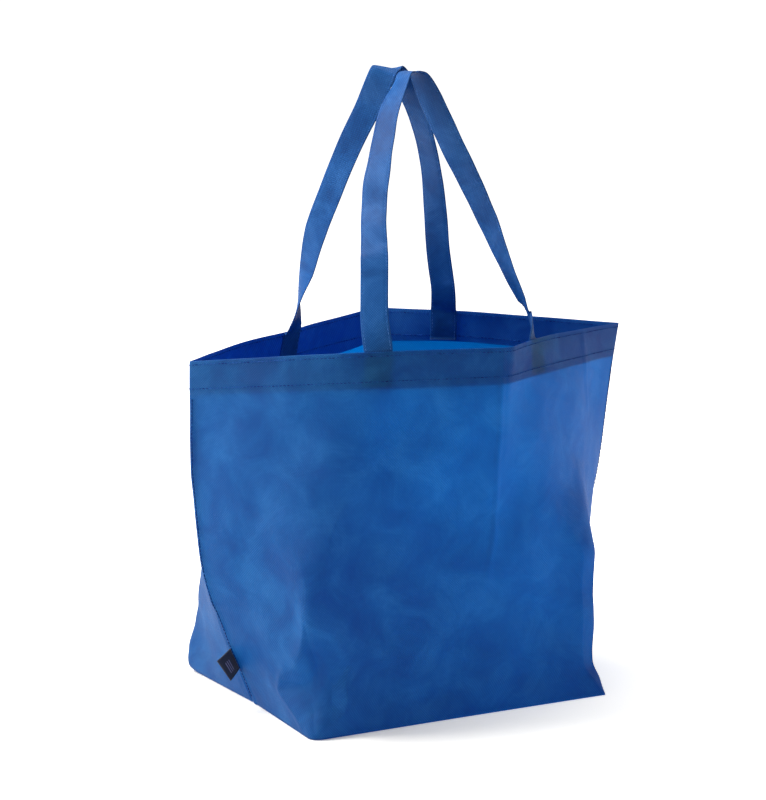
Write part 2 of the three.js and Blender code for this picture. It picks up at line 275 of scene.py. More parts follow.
# Soft swellings and hollows: distance from the left seam by the front, height, height out of
# the surface, and radii along and up.
SWELLS = [
    (172, 125, -3.4, 26, 52), (205, 165, 1.2, 20, 30), (205, 60, 1.2, 30, 30), (245, 150, -1.6, 26, 60),
    (60, 240, 1.8, 35, 30), (40, 130, -1.2, 30, 30), (150, 250, 1.4, 26, 36), (215, 265, -1.4, 30, 34),
    (345, 235, 1.3, 26, 50), (350, 90, -1.6, 34, 40), (430, 150, 1.8, 22, 50), (895, 317, -4.5, 28, 130),
    (600, 200, 2.2, 40, 60), (700, 120, -2.0, 40, 50), (780, 220, 2.0, 40, 50), (880, 150, -1.8, 36, 50),
]

# The dented foot of the front left corner, as flat facets between points of
# (distance from the left seam by the front, height, height out of the surface).
DENT_POINTS = [
    (120, 104, 0), (113, 78, 0), (99, 58, 0), (77, 45, 0), (72, 33, 0), (87, 24, 0), (98, 16, 0),
    (107, 12, 0.6), (124, 4, 0), (139, 12, 0.6), (150, 20, 0.5), (147, 45, 0.8), (154, 66, 0),
    (143, 92, 0), (99, 41, -8), (121, 54, -10), (135, 38, -9), (138, 27, -8), (117, 21, -9),
]
DENT_FACETS = [
    (0, 1, 15), (1, 2, 15), (2, 14, 15), (2, 3, 14), (3, 4, 14), (4, 5, 14), (5, 6, 14), (6, 18, 14),
    (6, 7, 18), (7, 8, 18), (8, 9, 18), (9, 17, 18), (9, 10, 17), (10, 11, 17), (11, 16, 17),
    (11, 12, 16), (12, 15, 16), (12, 13, 15), (13, 0, 15), (14, 18, 15), (18, 16, 15), (18, 17, 16),
]

# Wrinkles all over the cloth: height, and waves of one length in millimetres
WRINKLES = [(1.5, Waves(3, 150.0)), (0.62, Waves(11, 62.0)), (0.13, Waves(23, 24.0))]
CALM_FOOT, CALM_HEM = (0.0, 0.08), (0.86, 0.92)  # the levels over which they fade in and out
HEM_SHARE, SEAM_SHARE = 0.55, 0.85  # how much of them is lost at the hem and at the seams
CALM_BY_SEAM = 28.0
SEAM_REACH = 60.0  # how far before the left seam its creases still show


def line_distance(run, height, line):
    """Signed distance from a polyline and how far along it the nearest point lies, from 0 to 1."""
    best = np.full(run.shape, 1e9)
    signed = np.zeros(run.shape)
    where = np.zeros(run.shape)
    lengths = [math.dist(a, b) for a, b in zip(line, line[1:])]
    total, passed = sum(lengths), 0.0
    for (a, b), length in zip(zip(line, line[1:]), lengths):
        dx, dy = (b[0] - a[0]) / length, (b[1] - a[1]) / length
        px, py = run - a[0], height - a[1]
        t = np.clip(px * dx + py * dy, 0, length)
        gap = np.hypot(px - t * dx, py - t * dy)
        side = np.sign(px * dy - py * dx)
        closer = gap < best
        best = np.where(closer, gap, best)
        signed = np.where(closer, gap * side, signed)
        where = np.where(closer, (passed + t) / total, where)
        passed += length
    return signed, where


def dent(run, height):
    """Height of the dented foot's facets, nothing outside them."""
    out = np.zeros(run.shape)
    for corners in DENT_FACETS:
        (ax, ay, az), (bx, by, bz), (cx, cy, cz) = [DENT_POINTS[k] for k in corners]
        area = (bx - ax) * (cy - ay) - (cx - ax) * (by - ay)
        b = ((run - ax) * (cy - ay) - (cx - ax) * (height - ay)) / area
        c = ((bx - ax) * (height - ay) - (run - ax) * (by - ay)) / area
        inside = (b >= 0) & (c >= 0) & (b + c <= 1)
        out = np.where(inside, az * (1 - b - c) + bz * b + cz * c, out)
    return out


def relief(run, height, level):
    """How far the cloth stands out of its plain folded shape, in millimetres."""
    free = smooth(*CALM_FOOT, level) * (1 - HEM_SHARE * smooth(*CALM_HEM, level))
    for seam in (LEFT_SEAM, RIGHT_SEAM):
        away = np.abs(run - run[seam])
        away = np.minimum(away, run.max() - away)
        free = free * (1 - SEAM_SHARE * np.exp(-(away / CALM_BY_SEAM) ** 2))
    out = free * sum(rise * waves(run, height) for rise, waves in WRINKLES)
    around = 2 * run[-1] - run[-2] - run[0]
    near_seam = np.where(run > around - SEAM_REACH, run - around, run)
    for crease in CREASES:
        signed, where = line_distance(near_seam, height, crease["line"])
        wide = np.where(signed < 0, crease["before"], crease["after"])
        shape = np.clip(1 - np.abs(signed) / wide, 0, 1)
        start, stop = crease["ends"]
        fade = smooth(0, start, where) if start > 0 else 1.0
        fade = fade * (1 - smooth(stop, 1.0001, where) if stop < 1 else 1.0)
        out = out + crease["lift"] * shape * shape * (3 - 2 * shape) * fade
    for place, up, lift, wide, tall in SWELLS:
        out = out + lift * np.exp(-((run - place) / wide) ** 2 - ((height - up) / tall) ** 2)
    return out + dent(run, height)


def body_surface(level, inset=0.0):
    """One row of the body, moved in by inset: points, run round the bag, height and way inward."""
    points = section(level)
    run = run_round(points)
    inner = inward(points)
    height = points[:, 2]
    shift = inset - relief(run, height, level)
    return points + inner * shift[:, None], run, height, inner


# Materials


def node_material(name):
    material = bpy.data.materials.new(name)
    material.use_nodes = True
    tree = material.node_tree
    tree.nodes.clear()
    return material, tree.nodes, tree.links


def srgb(r, g, b):
    """A colour given as 0 to 255 display values, in Blender's linear values."""
    def linear(v):
        v /= 255.0
        return v / 12.92 if v <= 0.04045 else ((v + 0.055) / 1.055) ** 2.4
    return (linear(r), linear(g), linear(b), 1.0)


def ramp_node(nodes, stops):
    """A colour ramp through two or more stops, each a position and a colour, in rising order."""
    ramp = nodes.new("ShaderNodeValToRGB")
    elements = ramp.color_ramp.elements
    for end in (0, -1):
        elements[end].position, elements[end].color = stops[end]
    for position, color in stops[1:-1]:
        elements.new(position).color = color
    return ramp


def joined(nodes, links, operation, a, b):
    """The value that one operation makes of two others."""
    node = nodes.new("ShaderNodeMath")
    node.operation = operation
    links.new(a, node.inputs[0])
    links.new(b, node.inputs[1])
    return node.outputs["Value"]


def crossed_waves(nodes, links, vector, pitch):
    """Two crossed sets of bands at a pitch in metres, each rising and falling from 0 to 1."""
    values = []
    for direction in ("X", "Y"):
        wave = nodes.new("ShaderNodeTexWave")
        wave.bands_direction = direction
        wave.inputs["Scale"].default_value = 2 * math.pi / WAVE_RADIANS / pitch
        links.new(vector, wave.inputs["Vector"])
        values.append(wave.outputs["Fac"])
    return values


def cloth_uv(nodes):
    coords = nodes.new("ShaderNodeUVMap")
    coords.uv_map = "cloth"
    return coords.outputs["UV"]


def finish_material(nodes, links, shader):
    out = nodes.new("ShaderNodeOutputMaterial")
    links.new(shader, out.inputs["Surface"])


WAVE_RADIANS = 20.0  # how far a wave texture of scale 1 turns in one metre
EMBOSS_PITCH = 1.6 * MM
WEAVE_PITCH = 0.45 * MM


def cloth_material(name, deep, plain, bright, through, through_share, relief_height, gloss):
    """Bonded cloth: clouded colour, a fine diamond emboss, soft gloss and light coming through."""
    material, nodes, links = node_material(name)
    coords = cloth_uv(nodes)

    clouds = nodes.new("ShaderNodeTexNoise")
    clouds.inputs["Scale"].default_value = 24.0
    clouds.inputs["Detail"].default_value = 8.0
    clouds.inputs["Roughness"].default_value = 0.66
    clouds.inputs["Distortion"].default_value = 0.6
    links.new(coords, clouds.inputs["Vector"])
    ramp = ramp_node(nodes, [(0.36, deep), (0.5, plain), (0.64, bright)])
    links.new(clouds.outputs["Fac"], ramp.inputs["Fac"])

    fibres = nodes.new("ShaderNodeTexNoise")
    fibres.inputs["Scale"].default_value = 900.0
    fibres.inputs["Detail"].default_value = 3.0
    links.new(coords, fibres.inputs["Vector"])
    turned = nodes.new("ShaderNodeMapping")
    turned.inputs["Rotation"].default_value = (0, 0, math.radians(45))
    links.new(coords, turned.inputs["Vector"])
    waves = crossed_waves(nodes, links, turned.outputs["Vector"], EMBOSS_PITCH)
    dots = joined(nodes, links, "MULTIPLY", *waves)
    grain = nodes.new("ShaderNodeMath")
    grain.operation = "MULTIPLY_ADD"
    grain.inputs[1].default_value = 0.22
    links.new(fibres.outputs["Fac"], grain.inputs[0])
    links.new(dots, grain.inputs[2])

    shade = nodes.new("ShaderNodeMix")
    shade.data_type = "RGBA"
    shade.blend_type = "MULTIPLY"
    shade.inputs["Factor"].default_value = 0.5
    links.new(ramp.outputs["Color"], shade.inputs["A"])
    links.new(grain.outputs["Value"], shade.inputs["B"])
    bump = nodes.new("ShaderNodeBump")
    bump.inputs["Strength"].default_value = 0.7
    bump.inputs["Distance"].default_value = relief_height
    links.new(grain.outputs["Value"], bump.inputs["Height"])

    front = nodes.new("ShaderNodeBsdfPrincipled")
    front.inputs["Roughness"].default_value = 0.5
    front.inputs["Specular IOR Level"].default_value = gloss
    links.new(shade.outputs["Result"], front.inputs["Base Color"])
    links.new(bump.outputs["Normal"], front.inputs["Normal"])
    back = nodes.new("ShaderNodeBsdfTranslucent")
    back.inputs["Color"].default_value = through
    mix = nodes.new("ShaderNodeMixShader")
    mix.inputs["Fac"].default_value = through_share
    links.new(front.outputs["BSDF"], mix.inputs[1])
    links.new(back.outputs["BSDF"], mix.inputs[2])
    finish_material(nodes, links, mix.outputs["Shader"])
    return material


body_cloth = cloth_material(
    "body_cloth", srgb(14, 84, 148), srgb(22, 101, 167), srgb(38, 120, 188), srgb(0, 112, 204),
    through_share=0.37, relief_height=0.0005, gloss=0.16)
strap_cloth = cloth_material(
    "strap_cloth", srgb(16, 74, 140), srgb(27, 90, 160), srgb(46, 108, 180), srgb(0, 92, 190),
    through_share=0.12, relief_height=0.00012, gloss=0.12)


def thread_material(name, dark, light):
    material, nodes, links = node_material(name)
    coords = nodes.new("ShaderNodeTexCoord")
    noise = nodes.new("ShaderNodeTexNoise")
    noise.inputs["Scale"].default_value = 140.0
    links.new(coords.outputs["Object"], noise.inputs["Vector"])
    ramp = ramp_node(nodes, [(0.35, dark), (0.65, light)])
    links.new(noise.outputs["Fac"], ramp.inputs["Fac"])
    shader = nodes.new("ShaderNodeBsdfPrincipled")
    shader.inputs["Roughness"].default_value = 0.6
    shader.inputs["Specular IOR Level"].default_value = 0.04
    links.new(ramp.outputs["Color"], shader.inputs["Base Color"])
    finish_material(nodes, links, shader.outputs["BSDF"])
    return material


strap_thread = thread_material("strap_thread", srgb(34, 82, 158), srgb(80, 126, 196))
# Real stitching beside the side seams. Its dark navy is also painted shade: it darkens the seam's groove
# into a dark line.
seam_thread_and_groove_shade = thread_material("seam_thread_and_groove_shade", srgb(4, 26, 78), srgb(10, 44, 110))
hem_thread = thread_material("hem_thread", srgb(2, 34, 104), srgb(34, 92, 172))

# The label's three plain bars: their middles and half width along the reach of the tape, and
# the middle and half length up the seam
BAR_MIDDLES, BAR_HALF_WIDTH = (8.5, 11.0, 13.5), 0.5
BAR_HEIGHT, BAR_HALF_LENGTH = 43.0, 5.0


def label_material():
    """Dark woven tape with three plain pale bars."""
    material, nodes, links = node_material("label_cloth")
    coords = cloth_uv(nodes)
    waves = crossed_waves(nodes, links, coords, WEAVE_PITCH)
    cross = joined(nodes, links, "MAXIMUM", *waves)
    place = nodes.new("ShaderNodeSeparateXYZ")
    links.new(coords, place.inputs["Vector"])

    def near(axis, middle, half):
        node = nodes.new("ShaderNodeMath")
        node.operation = "COMPARE"
        node.inputs[1].default_value = middle * MM
        node.inputs[2].default_value = half * MM
        links.new(place.outputs[axis], node.inputs[0])
        return node.outputs["Value"]

    first, *others = [near("X", middle, BAR_HALF_WIDTH) for middle in BAR_MIDDLES]
    bars = first
    for other in others:
        bars = joined(nodes, links, "MAXIMUM", bars, other)
    bars = joined(nodes, links, "MULTIPLY", bars, near("Y", BAR_HEIGHT, BAR_HALF_LENGTH))
    ramp = ramp_node(nodes, [(0.0, srgb(8, 9, 22)), (1.0, srgb(20, 23, 44))])
    links.new(cross, ramp.inputs["Fac"])
    pale = nodes.new("ShaderNodeMix")
    pale.data_type = "RGBA"
    pale.inputs["B"].default_value = srgb(120, 116, 150)
    links.new(bars, pale.inputs["Factor"])
    links.new(ramp.outputs["Color"], pale.inputs["A"])
    bump = nodes.new("ShaderNodeBump")
    bump.inputs["Strength"].default_value = 0.4
    bump.inputs["Distance"].default_value = 0.00012
    links.new(cross, bump.inputs["Height"])
    shader = nodes.new("ShaderNodeBsdfPrincipled")
    shader.inputs["Roughness"].default_value = 0.55
    shader.inputs["Sheen Weight"].default_value = 0.2
    links.new(pale.outputs["Result"], shader.inputs["Base Color"])
    links.new(bump.outputs["Normal"], shader.inputs["Normal"])
    finish_material(nodes, links, shader.outputs["BSDF"])
    return material


label_cloth = label_material()


# Body: one sheet from the middle of the base, up the walls, over the rim and down the hem

BASE_RINGS = 22
LOW_ROWS, HIGH_ROWS = 70, 68
LOW_STEP = 0.0055
LOW_TOP = LOW_ROWS * LOW_STEP
LEVELS = np.concatenate([
    np.arange(1, LOW_ROWS + 1) * LOW_STEP,
    LOW_TOP + np.arange(1, HIGH_ROWS + 1) / HIGH_ROWS * (1 - LOW_TOP)])
RIM_TURNS = (45, 90, 135, 180)
HEM = 30.0
HEM_ROWS = 12

# The hem is folded deeper on the back panel: at which column, how much, and how far it reaches
DEEPER_COLUMN = STARTS[6] + BEND_COLUMNS + 8
DEEPER_BY, DEEPER_REACH = 5.5, 60.0


def body_rows():
    """Rows of points and of cloth coordinates, from the first ring of the base to the hem's edge."""
    rows, uvs = [], []
    foot = body_surface(0.0)[0]
    for ring in range(1, BASE_RINGS + 1):
        loop = foot * (ring / BASE_RINGS)
        rows.append(loop)
        uvs.append(loop[:, :2])
    for level in LEVELS:
        points, run, height, _ = body_surface(level)
        rows.append(points)
        uvs.append(np.stack([run, height], axis=1))
    top, run, height, inner = body_surface(1.0)
    for angle in RIM_TURNS:
        turn = math.radians(angle)
        side = LAYER_GAP / 2 * (1 - math.cos(turn))
        loop = top + inner * side
        loop[:, 2] += LAYER_GAP / 2 * math.sin(turn)
        rows.append(loop)
        uvs.append(np.stack([run, height + side], axis=1))
    for row in range(1, HEM_ROWS + 1):
        share = row / HEM_ROWS
        points, run_here, height_here, _ = body_surface(1 - HEM / MEAN_HEIGHT * share, LAYER_GAP)
        away = (run_here - run_here[DEEPER_COLUMN]) / DEEPER_REACH
        points[:, 2] -= share * DEEPER_BY * np.exp(-away ** 2)
        rows.append(points)
        uvs.append(np.stack([run_here, 2 * height - height_here], axis=1))
    return rows, uvs


def make_body():
    rows, uvs = body_rows()
    count = len(rows[0])
    following = [(i + 1) % count for i in range(count)]
    faces = [(1 + j, 1 + i, 0) for i, j in enumerate(following)]
    for row in range(len(rows) - 1):
        first = 1 + row * count
        above = first + count
        faces.extend((first + j, above + j, above + i, first + i) for i, j in enumerate(following))
    verts = np.concatenate([np.zeros((1, 3)), *rows])
    body = new_object("body", verts, faces, np.concatenate([np.zeros((1, 2)), *uvs]))
    body.data.materials.append(body_cloth)
    return body


body = make_body()
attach(body, "root")
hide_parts("bag_body")


# Stitches

# Rings of points along one stitch: share of its length, and lift and width in thread radii
STITCH_RINGS = [(0.0, -0.5, 0.35), (0.16, 0.45, 0.9), (0.5, 0.75, 1.0), (0.84, 0.45, 0.9), (1.0, -0.5, 0.35)]
STITCH_SIDES = 6
FIRST_STITCH = 0.4  # where the first one starts, in pitches
STITCH_JITTER = 0.25
STITCH_CHORD = 0.6  # half the length over which a stitch's direction is taken


def stitches(name, runs, thread, length=2.6, pitch=3.6, radius=0.28, wander=0.12):
    """Short raised threads along each run of (points, outward directions)."""
    verts, faces = [], []
    rng = np.random.default_rng(len(name))
    turns = 2 * math.pi * np.arange(STITCH_SIDES) / STITCH_SIDES
    rings, sides = len(STITCH_RINGS), STITCH_SIDES
    single = []
    for ring in range(rings - 1):
        for k in range(sides):
            a, b = ring * sides + k, ring * sides + (k + 1) % sides
            single.append((a, b, b + sides, a + sides))
    single.append(tuple(reversed(range(sides))))
    single.append(tuple((rings - 1) * sides + k for k in range(sides)))
    base = 0
    for points, outs in runs:
        run = lengths_along(points)
        starts = np.arange(pitch * FIRST_STITCH, run[-1] - length, pitch)
        starts = starts + rng.uniform(-STITCH_JITTER, STITCH_JITTER, len(starts))
        drift = rng.normal(0, wander, len(starts))
        middle = starts + length / 2
        ahead = at_length(middle + STITCH_CHORD, run, points)
        along = unit(ahead - at_length(middle - STITCH_CHORD, run, points))
        out = unit(at_length(middle, run, outs))
        across = unit(np.cross(along, out))
        block = np.empty((len(starts), rings, sides, 3))
        for r, (share, lift, fat) in enumerate(STITCH_RINGS):
            centre = at_length(starts + share * length, run, points) + out * lift * radius
            centre = centre + across * (drift * (share - 0.5) * 2 + drift[::-1] * 0.5)[:, None]
            for k, turn in enumerate(turns):
                way = across * math.cos(turn) + out * math.sin(turn)
                block[:, r, k] = centre + way * radius * fat
        verts.append(block.reshape(-1, 3))
        for _ in starts:
            faces.extend(tuple(base + v for v in face) for face in single)
            base += rings * sides
    piece = new_object(name, np.concatenate(verts), faces)
    piece.data.materials.append(thread)
    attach(piece, "root")
    return piece


HEM_STITCH_DEPTHS = (3.0, 24.5)
THREAD_LIFT = 0.05

# How far in a thread runs and which way it stands out, on the body and on the hem inside it
OUTSIDE, INSIDE = (-THREAD_LIFT, -1), (LAYER_GAP + THREAD_LIFT, 1)


def hem_run(depth, inset, outward_sign):
    """A closed line round the hem at a depth below the rim."""
    points, _, _, inner = body_surface(1 - depth / MEAN_HEIGHT, inset)
    points = np.concatenate([points, points[:1]])
    outs = np.concatenate([inner, inner[:1]]) * outward_sign
    return points, outs


hem_stitches = stitches(
    "hem_stitches", [hem_run(depth, *face) for face in (OUTSIDE, INSIDE) for depth in HEM_STITCH_DEPTHS],
    hem_thread, radius=0.36)

SEAM_TOP = 286.0
SEAM_SAMPLES = 90
SEAM_STITCH_LOW = 6.0
BESIDE_SEAM = 3.4


def up_the_seam(seam, beside, low, inset, outward_sign):
    """A line up the body beside a seam, from a height to the hem."""
    points, outs = [], []
    for level in np.linspace(low, SEAM_TOP, SEAM_SAMPLES) / CORNER_HEIGHT:
        row, run, _, inner = body_surface(level, inset)
        at = run[seam] + beside
        points.append(at_length(at, run, row))
        outs.append(at_length(at, run, inner) * outward_sign)
    return np.array(points), unit(np.array(outs))


seam_stitches = stitches(
    "seam_stitches", [
        up_the_seam(LEFT_SEAM, BESIDE_SEAM, SEAM_STITCH_LOW, *OUTSIDE),
        up_the_seam(RIGHT_SEAM, -BESIDE_SEAM, SEAM_STITCH_LOW, *OUTSIDE),
    ], seam_thread_and_groove_shade, length=3.1, pitch=3.3, radius=0.4, wander=0.05)

ALLOWANCE = 8.0
ALLOWANCE_LOW = 8.0
ALLOWANCE_LINES = 6
ALLOWANCE_INSET = 0.6
ALLOWANCE_SWAY = 0.9
ALLOWANCE_U = 700.0  # a place of its own on the cloth, so that its clouds differ from the wall's


def make_allowances():
    """The free edges of the cloth inside both side seams, pressed together."""
    verts, uvs, faces = [], [], []
    wave = Waves(61, 40.0, 8)
    for column in (LEFT_SEAM, RIGHT_SEAM):
        roots, inner = up_the_seam(column, 0, ALLOWANCE_LOW, ALLOWANCE_INSET, 1)
        up = roots[:, 2]
        along = np.stack([-inner[:, 1], inner[:, 0], 0 * up], axis=1)
        base = len(verts)
        for reach in np.linspace(0, ALLOWANCE, ALLOWANCE_LINES):
            sway = wave(up, np.full(len(up), reach)) * ALLOWANCE_SWAY * reach / ALLOWANCE
            verts.extend(roots + inner * reach + along * sway[:, None])
            uvs.extend(np.stack([np.full(len(up), ALLOWANCE_U + reach), up], axis=1))
        rows = len(up)
        for line in range(ALLOWANCE_LINES - 1):
            for r in range(rows - 1):
                a = base + line * rows + r
                faces.append((a, a + rows, a + rows + 1, a + 1))
    piece = new_object("seam_allowances", verts, faces, uvs)
    piece.data.materials.append(body_cloth)
    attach(piece, "root")
    return piece


allowances = make_allowances()


# Handles

STRAP_WIDTH = 25.0
STRAP_THICKNESS = 1.1
STRAP_CLEARANCE = 0.35  # between a strap's foot and the hem that it is sewn to
STRAP_INSET = LAYER_GAP + STRAP_CLEARANCE + STRAP_THICKNESS / 2
FOOT_DEPTH, FOOT_ROWS = 28.5, 9
ROW_STEP, CROWN_STEP = 3.0, 1.0
END_STEP = 2.0
CROWN_REACH = 18.0
CROWN_HALF = 5.0
CROWN_TURNOVER = (0.3, 0.7)  # the shares of the crown between which the strap's face turns over
ROLL_REACH = 7.0
RIPPLE_HEIGHT, RIPPLE_LENGTH = 0.28, 34.0
RIPPLE_SEED = {True: 31, False: 47}  # for the front strap and the back one
UNDERSIDE_U = 60.0  # where the strap's inner face lies on the cloth, beside its outer face
UP = np.array([0.0, 0.0, 1.0])

# Where each strap's feet stand, along the panel from its middle
FRONT_SEATS, BACK_SEATS = (-92, 88), (-90, 102)

# Middle of each strap's crown, the angle from +X that it runs at in degrees, and how much its
# edge towards the front stands higher than the other for each millimetre of width
FRONT_CROWN = {"middle": (8.8, -16.5, 560.4), "turn": 6, "lean": 0.1}
BACK_CROWN = {"middle": (-1.6, 9.8, 562.4), "turn": 43, "lean": -0.1}

# Middle line of each strap's free part from its left foot to the crown, and from its right
# foot to the crown: x, y, z and the bearing of its outer face in degrees, clockwise from -Y
# seen from above, so that 90 is -X
FRONT_LEFT = [
    (-78, -109, 360, 43), (-75.5, -104, 376.6, 45), (-69, -92, 412, 45), (-66, -86, 421.5, 47),
    (-55, -66, 457, 54), (-42, -52, 490, 60), (-27, -37, 522, 67), (-10, -25, 547, 75),
]
FRONT_RIGHT = [
    (93, -84, 346, -60), (87, -79, 360, -74), (76, -66, 395, -87), (65, -55, 431, -105),
    (52, -45, 466, -113), (38, -34, 501, -118), (26, -21, 537, -115),
]
BACK_LEFT = [
    (-57, 75, 350, 118), (-54, 66, 378, 88), (-50, 54, 416, 68), (-40, 43, 453, 66),
    (-29, 33, 489, 62), (-15, 20, 528, 58),
]
BACK_RIGHT = [
    (101, 87, 345, -128), (88, 74, 386, -126), (77, 60, 425, -120), (65, 47, 465, -112),
    (44, 31, 513, -113), (27, 23, 541, -120),
]


def outer_face(bearing):
    turn = math.radians(bearing)
    return np.array([-math.sin(turn), -math.cos(turn), 0.0])


def side_path(level, front):
    """The body's outside from the left seam to the right one, by the front or the back."""
    points, _, _, inner = body_surface(level)
    if front:
        order = np.arange(LEFT_SEAM, RIGHT_SEAM + 1)
    else:
        order = np.arange(len(points) + LEFT_SEAM, RIGHT_SEAM - 1, -1) % len(points)
    return points[order], inner[order], lengths_along(points[order])


def on_side(level, front, from_middle, inset):
    """A point on a panel at a distance from its middle, moved in by inset, and the way inward."""
    points, inner, run = side_path(level, front)
    s = run[-1] / 2 + from_middle
    way = unit(at_length(s, run, inner))
    return at_length(s, run, points) + way * inset, way


def catmull(points, alpha=0.5, samples=24):
    """A centripetal curve through the points, with its local parameter from 0 to n - 1."""
    pts = [2 * points[0] - points[1], *points, 2 * points[-1] - points[-2]]
    out, param = [], []
    for i in range(1, len(pts) - 2):
        p0, p1, p2, p3 = pts[i - 1:i + 3]
        t0 = 0.0
        t1 = t0 + max(np.linalg.norm(p1 - p0), 1e-6) ** alpha
        t2 = t1 + max(np.linalg.norm(p2 - p1), 1e-6) ** alpha
        t3 = t2 + max(np.linalg.norm(p3 - p2), 1e-6) ** alpha
        for k in range(samples):
            t = t1 + (t2 - t1) * k / samples
            a1 = (t1 - t) / (t1 - t0) * p0 + (t - t0) / (t1 - t0) * p1
            a2 = (t2 - t) / (t2 - t1) * p1 + (t - t1) / (t2 - t1) * p2
            a3 = (t3 - t) / (t3 - t2) * p2 + (t - t2) / (t3 - t2) * p3
            b1 = (t2 - t) / (t2 - t0) * a1 + (t - t0) / (t2 - t0) * a2
            b2 = (t3 - t) / (t3 - t1) * a2 + (t - t1) / (t3 - t1) * a3
            out.append((t2 - t) / (t2 - t1) * b1 + (t - t1) / (t2 - t1) * b2)
            param.append(i - 1 + k / samples)
    out.append(pts[-2])
    param.append(len(points) - 1.0)
    return np.array(out), np.array(param)


# Lines of points across the strap, as shares of its width. The stitches run along STITCHED,
# and THINNED gives the share of its thickness that the strap has there and at its edges.
STITCHED = 0.425
ACROSS = np.array([
    -0.5, -0.485, -0.45, -STITCHED, -0.4, -0.3, -0.15, 0, 0.15, 0.3, 0.4, STITCHED, 0.45, 0.485, 0.5])
THINNED = {STITCHED: 0.72, 0.485: 0.85, 0.5: 0.35}
HALF_THICKNESS = STRAP_THICKNESS / 2 * np.array([THINNED.get(abs(share), 1.0) for share in ACROSS])


def strap_foot(front, seat, way):
    """Rows of a sewn foot from its lower end up to the rim, each with its outward directions."""
    result = []
    for level in 1 - np.linspace(FOOT_DEPTH, 0, FOOT_ROWS) / MEAN_HEIGHT:
        line = [on_side(level, front, seat + way * share * STRAP_WIDTH, STRAP_INSET) for share in ACROSS]
        result.append((np.array([p for p, _ in line]), -np.array([n for _, n in line])))
    return result


def strap_rows(front, seats, crown, left, right):
    """Rows of the strap's middle surface and their outward directions, from foot to foot."""
    sign = 1 if front else -1
    feet = [strap_foot(front, seats[0], sign), strap_foot(front, seats[1], -sign)]
    starts = [on_side(1.0, front, seat, STRAP_INSET) for seat in seats]
    turn = math.radians(crown["turn"])
    way = np.array([math.cos(turn), math.sin(turn), 0.0])
    top = unit(UP - crown["lean"] * np.cross(way, UP))
    middle, half = np.array(crown["middle"]), way * CROWN_HALF
    points = [starts[0][0], *[np.array(p[:3], float) for p in left], middle - half, middle + half,
              *[np.array(p[:3], float) for p in reversed(right)], starts[1][0]]
    faces = np.array([-starts[0][1], *[outer_face(p[3]) for p in left], -way, way,
                      *[outer_face(p[3]) for p in reversed(right)], -starts[1][1]])
    line, param = catmull(points)
    run = lengths_along(line)
    crown_part = len(left) + 1
    crown_at = run[np.argmin(np.abs(param - (crown_part + 0.5)))]
    spots = np.unique(np.concatenate([
        np.arange(END_STEP + 0.5, run[-1] - END_STEP, ROW_STEP),
        crown_at + np.arange(-CROWN_REACH, CROWN_REACH + 0.1, CROWN_STEP)]))
    rows, outs = [], []
    for spot in spots[(spots > END_STEP) & (spots < run[-1] - END_STEP)]:
        along = unit(at_length(spot + 1.0, run, line) - at_length(spot - 1.0, run, line))
        at = np.interp(spot, run, param)
        part = min(int(at), len(faces) - 2)
        share = at - part
        if part == crown_part:
            share = smooth(*CROWN_TURNOVER, share)
        flat = faces[part] * (1 - share) + faces[part + 1] * share
        roll = math.exp(-((spot - crown_at) / ROLL_REACH) ** 2)
        face = unit(unit(flat + 1e-9) * (1 - roll) + top * roll)
        across = unit(np.cross(along, face))
        out = unit(np.cross(across, along))
        rows.append(at_length(spot, run, line) + np.outer(ACROSS * STRAP_WIDTH, across))
        outs.append(np.tile(out, (len(ACROSS), 1)))
    all_rows = [r for r, _ in feet[0]] + rows + [r for r, _ in reversed(feet[1])]
    all_outs = [o for _, o in feet[0]] + outs + [o for _, o in reversed(feet[1])]
    return np.array(all_rows), np.array(all_outs)


def make_strap(name, node, front, seats, crown, left, right):
    """One strap of double cloth with its edge stitches."""
    rows, outs = strap_rows(front, seats, crown, left, right)
    down, wide = rows.shape[:2]
    run = lengths_along(rows[:, wide // 2])
    along, aside = np.broadcast_arrays(run[:, None], (ACROSS * STRAP_WIDTH)[None, :])
    wave = Waves(RIPPLE_SEED[front], RIPPLE_LENGTH, 8)(along, aside)
    row = np.arange(down)
    free = smooth(0, 6, np.minimum(row - FOOT_ROWS, down - FOOT_ROWS - 1 - row))
    rows = rows + outs * (wave * RIPPLE_HEIGHT * free[:, None])[..., None]
    half = HALF_THICKNESS[None, :, None]
    outer, inner = rows + outs * half, rows - outs * half
    verts = np.concatenate([outer.reshape(-1, 3), inner.reshape(-1, 3)])
    uv = np.stack([aside, along], axis=-1).reshape(-1, 2)
    uvs = np.concatenate([uv, uv + [UNDERSIDE_U, 0.0]])
    strap = new_object(name, verts, thick_faces(down, wide), uvs)
    strap.data.materials.append(strap_cloth)
    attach(strap, "root")
    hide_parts(node)

    lines = []
    for share in (-STITCHED, STITCHED):
        c = int(np.argmin(np.abs(ACROSS - share)))
        for surface, sign in ((outer, 1), (inner, -1)):
            lines.append((surface[:, c], outs[:, c] * sign))
    seams = stitches(name + "_stitches", lines, strap_thread, length=2.3, pitch=3.3, radius=0.2)
    return strap, seams


front_strap, front_seams = make_strap(
    "front_strap", "front_handle", True, FRONT_SEATS, FRONT_CROWN, FRONT_LEFT, FRONT_RIGHT)
back_strap, back_seams = make_strap(
    "back_strap", "back_handle", False, BACK_SEATS, BACK_CROWN, BACK_LEFT, BACK_RIGHT)


# Label: a folded loop of tape caught in the left seam

LABEL_SIZE = 20.0
LABEL_LOW = 34.0
LABEL_POINTS = 15
LABEL_HALF_THICKNESS = 0.34
LABEL_FOLD = 0.9  # where the tape's rounded fold begins, as a share of its reach
LABEL_WAYS = np.array([[-0.726, -0.617, -0.303], [-0.843, -0.383, -0.377]])  # low and high
LABEL_ROOT = np.array([-0.3, 0, 0])
LABEL_BULGE = np.array([0.1, -0.9, 0.3])
LABEL_BOW = 0.7
LABEL_WAVE, LABEL_WAVE_TURN = 0.25, 2.3
LABEL_EDGE = 0.05  # half its thickness at the fold


